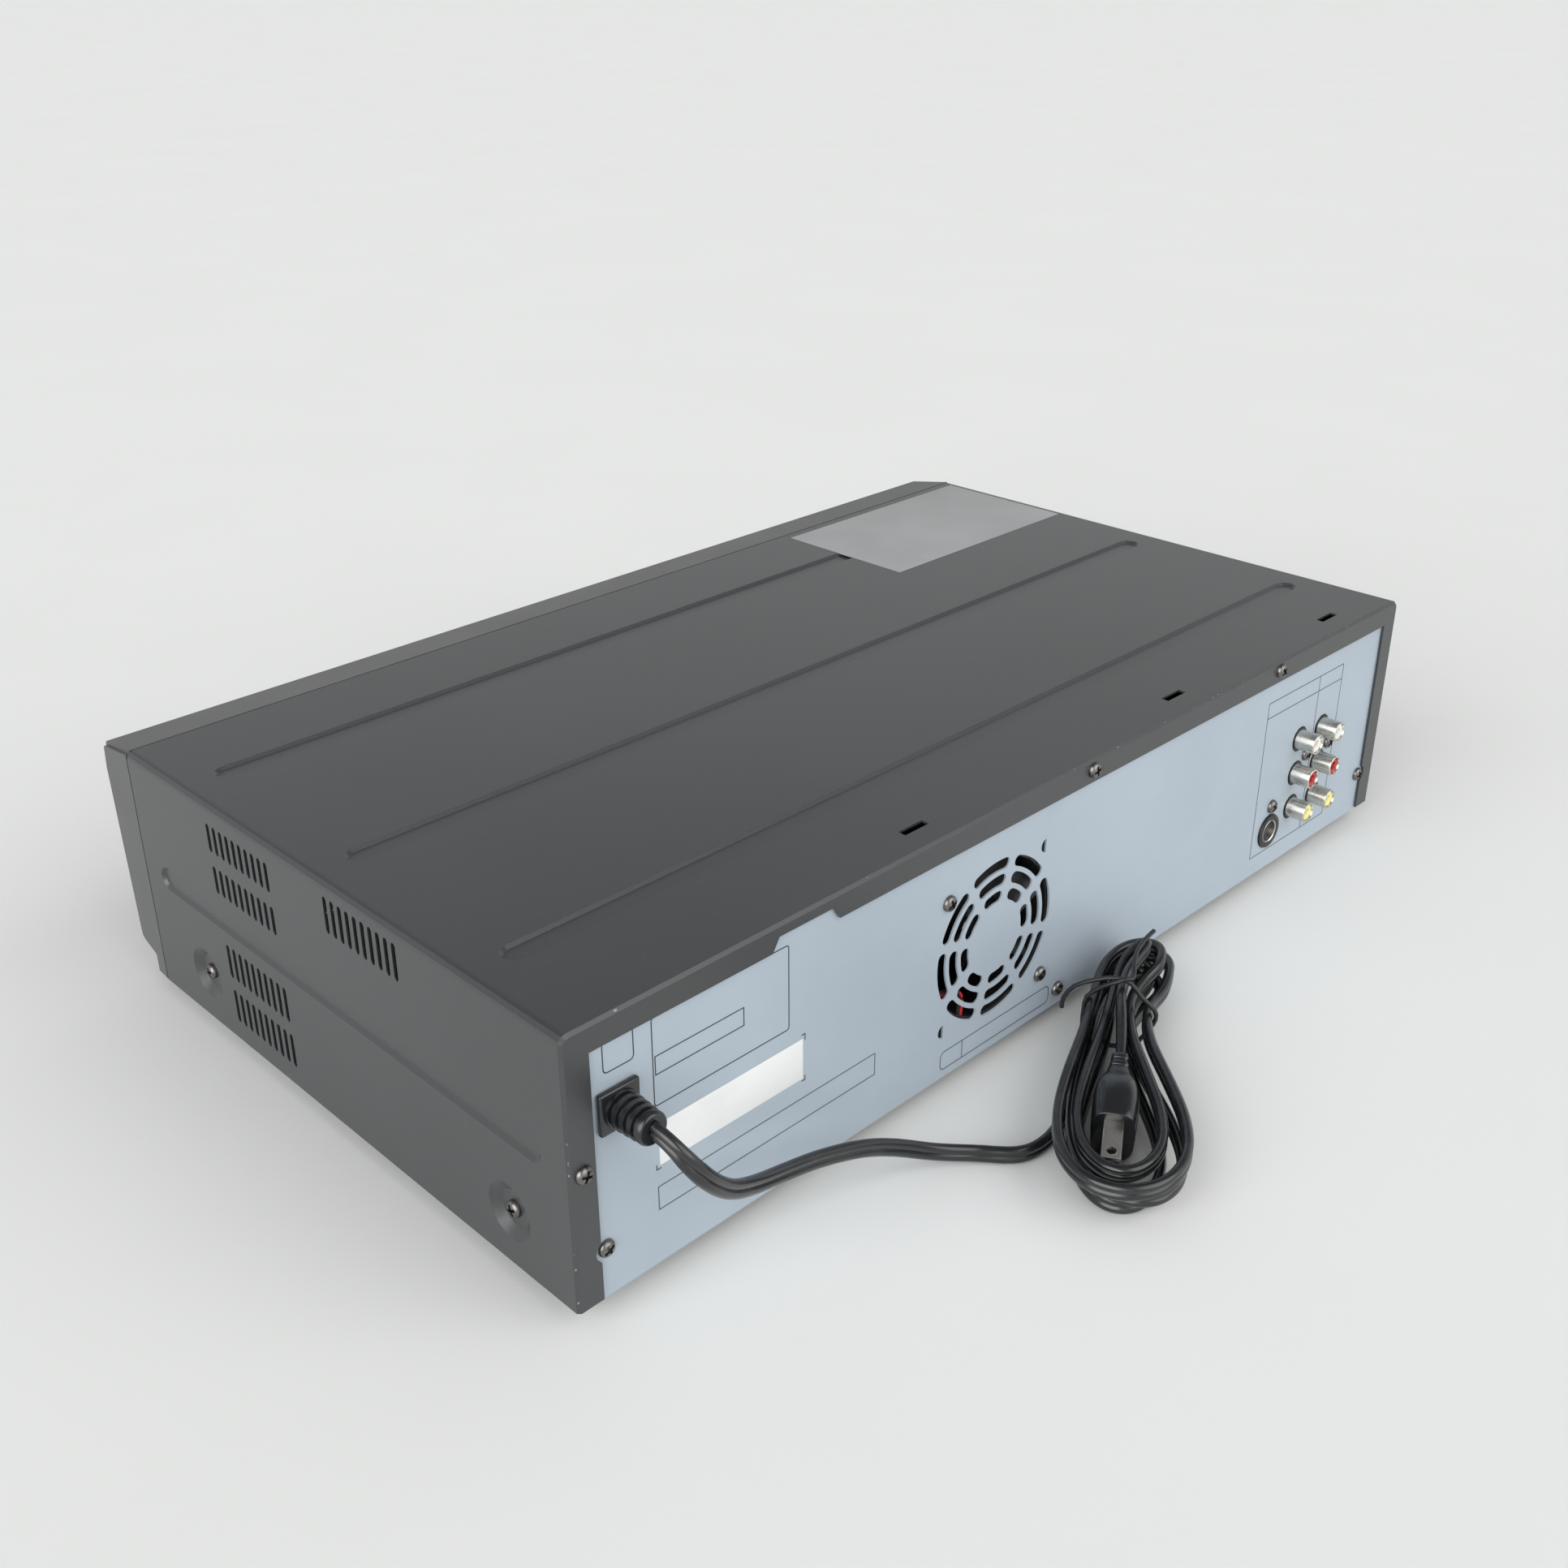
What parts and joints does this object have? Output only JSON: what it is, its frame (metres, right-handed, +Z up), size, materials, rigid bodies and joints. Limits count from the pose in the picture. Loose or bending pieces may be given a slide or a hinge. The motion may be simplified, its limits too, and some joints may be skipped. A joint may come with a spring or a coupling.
{
  "type": "dvd and video cassette combination deck",
  "caption": "Shelf-standing disc and tape deck with a folded steel cover, rear sockets and fan, sliding tray, loading door, keys and a mains lead put away in a hank",
  "frame": {"origin": "centre of the deck's footprint, on the surface that its feet stand on; the mains lead isn't counted", "axes": "+Z up; -Y towards the front with the tray and keys; +Y towards the rear panel; +X to the right of a viewer in front"},
  "size_m": [0.435, 0.3507, 0.0995],
  "materials": {
    "cover_paint": "satin charcoal powder coat",
    "panel_paint": "satin silver-blue paint on steel",
    "bezel_plastic": "dark grey moulded plastic",
    "black_plastic": "black moulded plastic",
    "button_plastic": "mid-grey moulded plastic",
    "smoked_plastic": "smoked clear plastic",
    "white_plastic": "off-white plastic",
    "red_plastic": "red plastic",
    "yellow_plastic": "yellow plastic",
    "foot_rubber": "black rubber",
    "cord_jacket": "black flexible PVC with a slight sheen",
    "bright_nickel": "bright nickel plate",
    "zinc_steel": "zinc-plated steel",
    "turned_alloy": "turned aluminium alloy",
    "board_green": "green circuit board"
  },
  "bodies": {
    "player": {"top_cover": "cover_paint", "bottom_chassis": "zinc_steel", "deck_chassis": "zinc_steel", "drive_frame": "zinc_steel", "foot_front_left": "foot_rubber", "foot_front_right": "foot_rubber", "foot_rear_left": "foot_rubber", "foot_rear_right": "foot_rubber", "rear_panel": "panel_paint", "input_left_audio_shell": "bright_nickel", "input_left_audio_insert": "white_plastic", "input_right_audio_shell": "bright_nickel", "input_right_audio_insert": "red_plastic", "input_video_shell": "bright_nickel", "input_video_insert": "yellow_plastic", "input_jack_block": "black_plastic", "output_left_audio_shell": "bright_nickel", "output_left_audio_insert": "white_plastic", "output_right_audio_shell": "bright_nickel", "output_right_audio_insert": "red_plastic", "output_video_shell": "bright_nickel", "output_video_insert": "yellow_plastic", "output_jack_block": "black_plastic", "s_video_socket": "black_plastic", "front_jack_block": "black_plastic", "fan_frame": "black_plastic", "cord_tie": "black_plastic", "cord_bushing": "cord_jacket", "cord_lead": "cord_jacket", "cord_hank": "cord_jacket", "power_plug": "cord_jacket", "front_bezel": "bezel_plastic", "display_window": "smoked_plastic", "button_board": "board_green", "power_board": "board_green", "main_board": "board_green", "drum_base": "turned_alloy"},
    "disc_tray": {"disc_tray": "black_plastic", "tray_front": "bezel_plastic"},
    "tray_pinion": {"tray_pinion": "white_plastic"},
    "pickup_sled": {"pickup_sled": "zinc_steel"},
    "sled_pinion": {"sled_pinion": "white_plastic"},
    "cassette_door": {"cassette_door": "bezel_plastic"},
    "fan_rotor": {"fan_rotor": "black_plastic"},
    "head_drum": {"head_drum": "turned_alloy"},
    "supply_reel": {"supply_reel": "white_plastic"},
    "takeup_reel": {"takeup_reel": "white_plastic"},
    "capstan": {"capstan": "turned_alloy"},
    "pinch_roller": {"pinch_roller": "foot_rubber"},
    "cassette_carriage": {"cassette_carriage": "zinc_steel"},
    "turntable": {"turntable": "black_plastic"},
    "power_button": {"power_button": "button_plastic"},
    "tape_eject_button": {"tape_eject_button": "button_plastic"},
    "rewind_button": {"rewind_button": "button_plastic"},
    "play_button": {"play_button": "button_plastic"},
    "fast_forward_button": {"fast_forward_button": "button_plastic"},
    "stop_button": {"stop_button": "button_plastic"},
    "record_button": {"record_button": "button_plastic"},
    "source_button": {"source_button": "button_plastic"},
    "disc_eject_button": {"disc_eject_button": "button_plastic"}
  },
  "joints": [
    {"name": "disc_tray_slide", "type": "slide", "parent": "player", "child": "disc_tray", "axis": [0, -1, 0], "range_m": [0, 0.13]},
    {"name": "tray_pinion_spin", "type": "hinge", "parent": "player", "child": "tray_pinion", "pos_m": [0.1545, -0.0928, 0.0731], "axis": [0, 0, -1], "range_deg": [0, 994]},
    {"name": "pickup_sled_slide", "type": "slide", "parent": "player", "child": "pickup_sled", "axis": [0, 1, 0], "range_m": [0, 0.036]},
    {"name": "sled_pinion_spin", "type": "hinge", "parent": "player", "child": "sled_pinion", "pos_m": [0.0759, -0.0133, 0.064], "axis": [0, 0, 1], "range_deg": [0, 430]},
    {"name": "cassette_door_hinge", "type": "hinge", "parent": "player", "child": "cassette_door", "pos_m": [-0.106, -0.12987, 0.08761], "axis": [1, 0, 0], "range_deg": [0, 80], "stiffness_Nm_per_rad": 0.004},
    {"name": "power_button_press", "type": "slide", "parent": "player", "child": "power_button", "axis": [0, 0.9986, 0.0534], "range_m": [0, 0.0008], "stiffness_N_per_m": 150},
    {"name": "tape_eject_button_press", "type": "slide", "parent": "player", "child": "tape_eject_button", "axis": [0, 0.9986, 0.0534], "range_m": [0, 0.0008], "stiffness_N_per_m": 150},
    {"name": "rewind_button_press", "type": "slide", "parent": "player", "child": "rewind_button", "axis": [0, 0.9986, 0.0534], "range_m": [0, 0.0008], "stiffness_N_per_m": 150},
    {"name": "play_button_press", "type": "slide", "parent": "player", "child": "play_button", "axis": [0, 0.9986, 0.0534], "range_m": [0, 0.0008], "stiffness_N_per_m": 150},
    {"name": "fast_forward_button_press", "type": "slide", "parent": "player", "child": "fast_forward_button", "axis": [0, 0.9986, 0.0534], "range_m": [0, 0.0008], "stiffness_N_per_m": 150},
    {"name": "stop_button_press", "type": "slide", "parent": "player", "child": "stop_button", "axis": [0, 0.9986, 0.0534], "range_m": [0, 0.0008], "stiffness_N_per_m": 150},
    {"name": "record_button_press", "type": "slide", "parent": "player", "child": "record_button", "axis": [0, 0.9986, 0.0534], "range_m": [0, 0.0008], "stiffness_N_per_m": 150},
    {"name": "source_button_press", "type": "slide", "parent": "player", "child": "source_button", "axis": [0, 0.9986, 0.0534], "range_m": [0, 0.0008], "stiffness_N_per_m": 150},
    {"name": "disc_eject_button_press", "type": "slide", "parent": "player", "child": "disc_eject_button", "axis": [0, 0.9986, 0.0534], "range_m": [0, 0.0008], "stiffness_N_per_m": 150},
    {"name": "fan_spin", "type": "hinge", "parent": "player", "child": "fan_rotor", "pos_m": [0.038, 0.1183, 0.0501], "axis": [0, 1, 0], "continuous": true},
    {"name": "head_drum_spin", "type": "hinge", "parent": "player", "child": "head_drum", "pos_m": [-0.10371, 0.0772, 0.04145], "axis": [0.0872, 0, 0.9962], "continuous": true},
    {"name": "supply_reel_spin", "type": "hinge", "parent": "player", "child": "supply_reel", "pos_m": [-0.151, 0.0012, 0.0273], "axis": [0, 0, 1], "continuous": true},
    {"name": "takeup_reel_spin", "type": "hinge", "parent": "player", "child": "takeup_reel", "pos_m": [-0.059, 0.0012, 0.0273], "axis": [0, 0, 1], "continuous": true},
    {"name": "capstan_spin", "type": "hinge", "parent": "player", "child": "capstan", "pos_m": [-0.045, 0.0542, 0.0145], "axis": [0, 0, 1], "continuous": true},
    {"name": "pinch_roller_spin", "type": "hinge", "parent": "player", "child": "pinch_roller", "pos_m": [-0.0533, 0.0542, 0.0355], "axis": [0, 0, 1], "continuous": true},
    {"name": "cassette_carriage_slide", "type": "slide", "parent": "player", "child": "cassette_carriage", "axis": [0, 1, 0], "range_m": [0, 0.05]},
    {"name": "turntable_spin", "type": "hinge", "parent": "player", "child": "turntable", "pos_m": [0.11, -0.0603, 0.0695], "axis": [0, 0, 1], "continuous": true}
  ],
  "couplings": [
    {"joint": "tray_pinion_spin", "follows": "disc_tray_slide", "rad_per_m": 133.33},
    {"joint": "sled_pinion_spin", "follows": "pickup_sled_slide", "rad_per_m": 208.33},
    {"joint": "pinch_roller_spin", "follows": "capstan_spin", "ratio": -0.33333}
  ]
}
